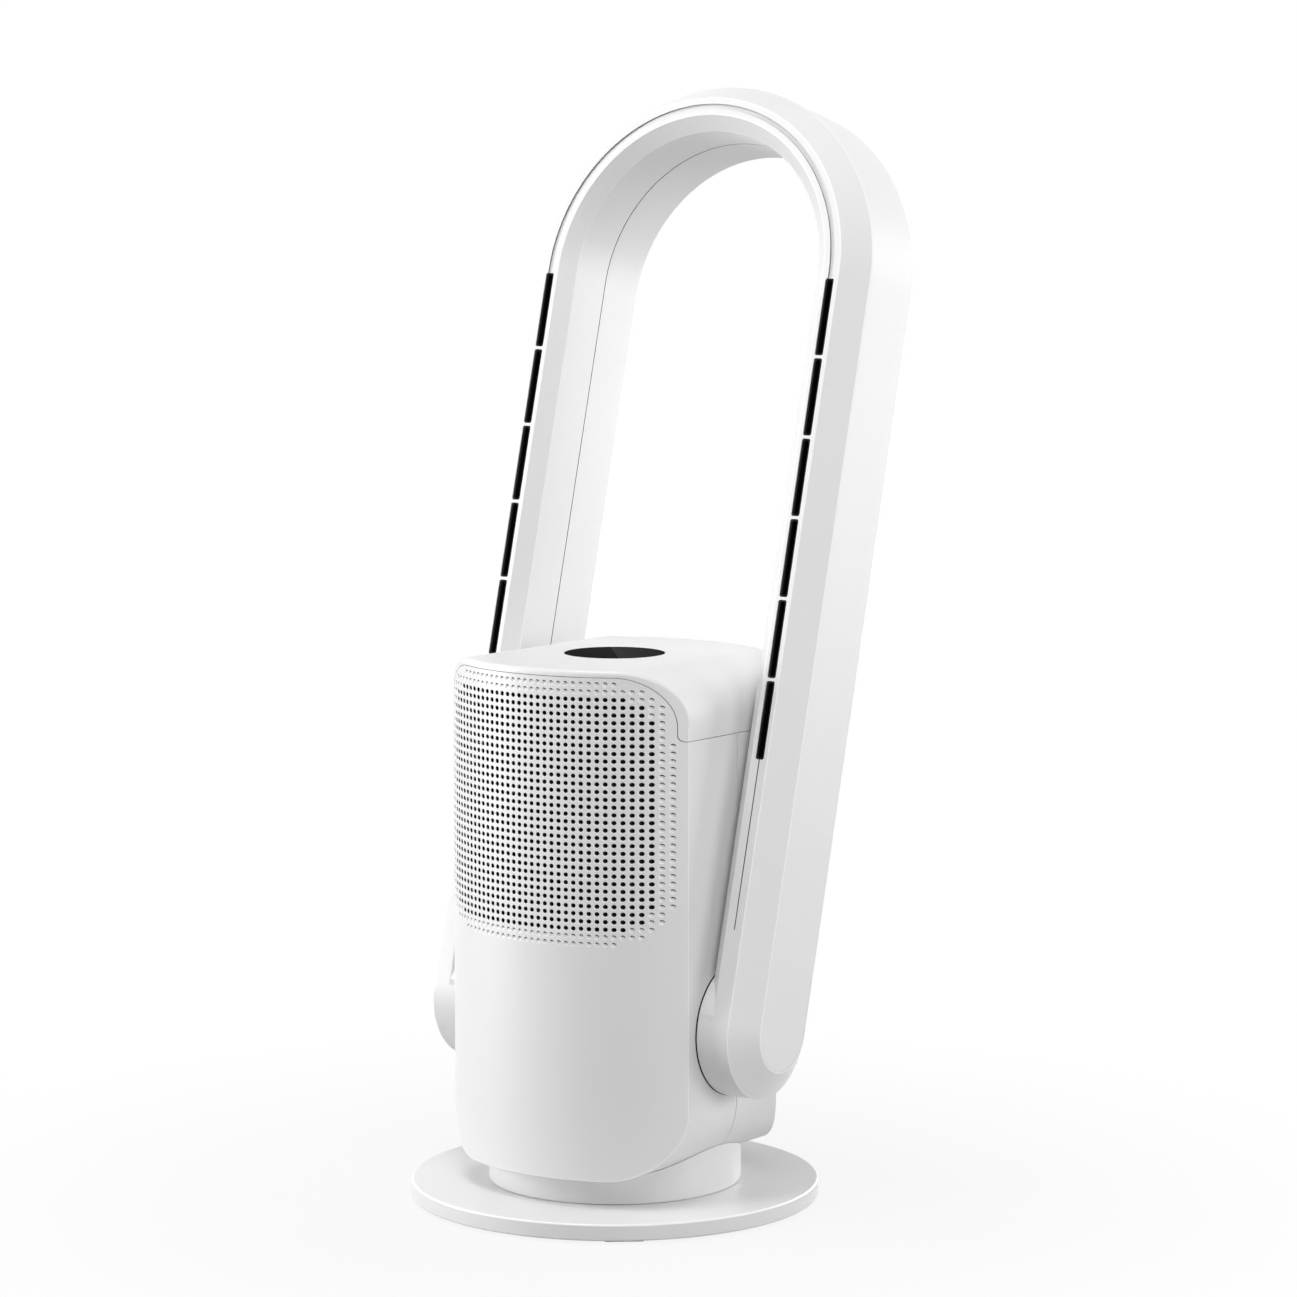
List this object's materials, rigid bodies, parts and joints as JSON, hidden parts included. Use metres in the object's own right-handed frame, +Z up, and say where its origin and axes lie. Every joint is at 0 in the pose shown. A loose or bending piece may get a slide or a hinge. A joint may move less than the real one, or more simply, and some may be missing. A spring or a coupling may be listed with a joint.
{
  "type": "air purifier fan",
  "caption": "Standing air purifier fan: round weighted stand, oscillating body with a bowed grille front, and a tall arched bladeless air loop that tilts on two side hubs.",
  "frame": {"origin": "centre of the stand's flat underside", "axes": "+Z up, -Y towards the front grille, +X to the right as seen by someone facing the front"},
  "size_m": [0.2744, 0.3378, 0.7439],
  "materials": {
    "white_plastic": "satin",
    "black_gloss": "gloss",
    "black_plastic": "satin",
    "grey_plastic": "satin",
    "acetal": "satin",
    "board": "satin",
    "steel": "brushed",
    "rubber": "matte",
    "filter_paper": "matte"
  },
  "bodies": {
    "stand": {"base_shell": "white_plastic", "weight_plate": "steel", "foot_1": "rubber", "foot_2": "rubber", "foot_3": "rubber", "foot_4": "rubber", "foot_5": "rubber", "foot_6": "rubber", "power_inlet": "black_plastic", "race_ring": "acetal", "retaining_ring": "steel", "gear_ring": "acetal"},
    "body": {"pedestal_collar": "white_plastic", "turntable": "grey_plastic", "oscillation_motor": "steel", "front_shell": "white_plastic", "top_cap": "white_plastic", "display_lens": "black_gloss", "display_board": "board", "blower_drum": "grey_plastic", "blower_motor": "steel", "main_board": "board", "pivot_socket_left": "grey_plastic", "pivot_socket_right": "grey_plastic", "pivot_seal_left": "rubber", "pivot_seal_right": "rubber"},
    "oscillation_pinion": {"pinion": "acetal"},
    "blower_impeller": {"impeller": "black_plastic"},
    "cover": {"rear_cover": "white_plastic"},
    "filter": {"filter_media": "filter_paper", "filter_end_lower": "black_plastic", "filter_end_upper": "black_plastic"},
    "loop": {"loop_front_shell": "white_plastic", "loop_rear_shell": "white_plastic", "nozzle_left_1": "black_plastic", "nozzle_left_2": "black_plastic", "nozzle_left_3": "black_plastic", "nozzle_left_4": "black_plastic", "nozzle_left_5": "black_plastic", "nozzle_left_6": "black_plastic", "nozzle_right_1": "black_plastic", "nozzle_right_2": "black_plastic", "nozzle_right_3": "black_plastic", "nozzle_right_4": "black_plastic", "nozzle_right_5": "black_plastic", "nozzle_right_6": "black_plastic", "pivot_tube_left": "grey_plastic", "pivot_tube_right": "grey_plastic"}
  },
  "joints": [
    {"name": "oscillation", "type": "hinge", "parent": "stand", "child": "body", "pos_m": [0, 0, 0.03], "axis": [0, 0, 1], "range_deg": [-45, 45]},
    {"name": "pinion_spin", "type": "hinge", "parent": "body", "child": "oscillation_pinion", "pos_m": [0.03, 0, 0.015], "axis": [0, 0, 1], "range_deg": [-181, 181]},
    {"name": "impeller_spin", "type": "hinge", "parent": "body", "child": "blower_impeller", "pos_m": [0, 0, 0.115], "axis": [0, 0, 1], "continuous": true},
    {"name": "loop_tilt", "type": "hinge", "parent": "body", "child": "loop", "pos_m": [0, 0.002, 0.124], "axis": [-1, 0, 0], "range_deg": [-14.5, 30.5]},
    {"name": "cover_removal", "type": "slide", "parent": "body", "child": "cover", "axis": [0, 1, 0], "range_m": [0, 0.28]},
    {"name": "filter_removal", "type": "slide", "parent": "body", "child": "filter", "axis": [0, 1, 0], "range_m": [0, 0.182]}
  ],
  "couplings": [
    {"joint": "pinion_spin", "follows": "oscillation", "ratio": -4},
    {"joint": "filter_removal", "follows": "cover_removal", "ratio": 0.65}
  ]
}
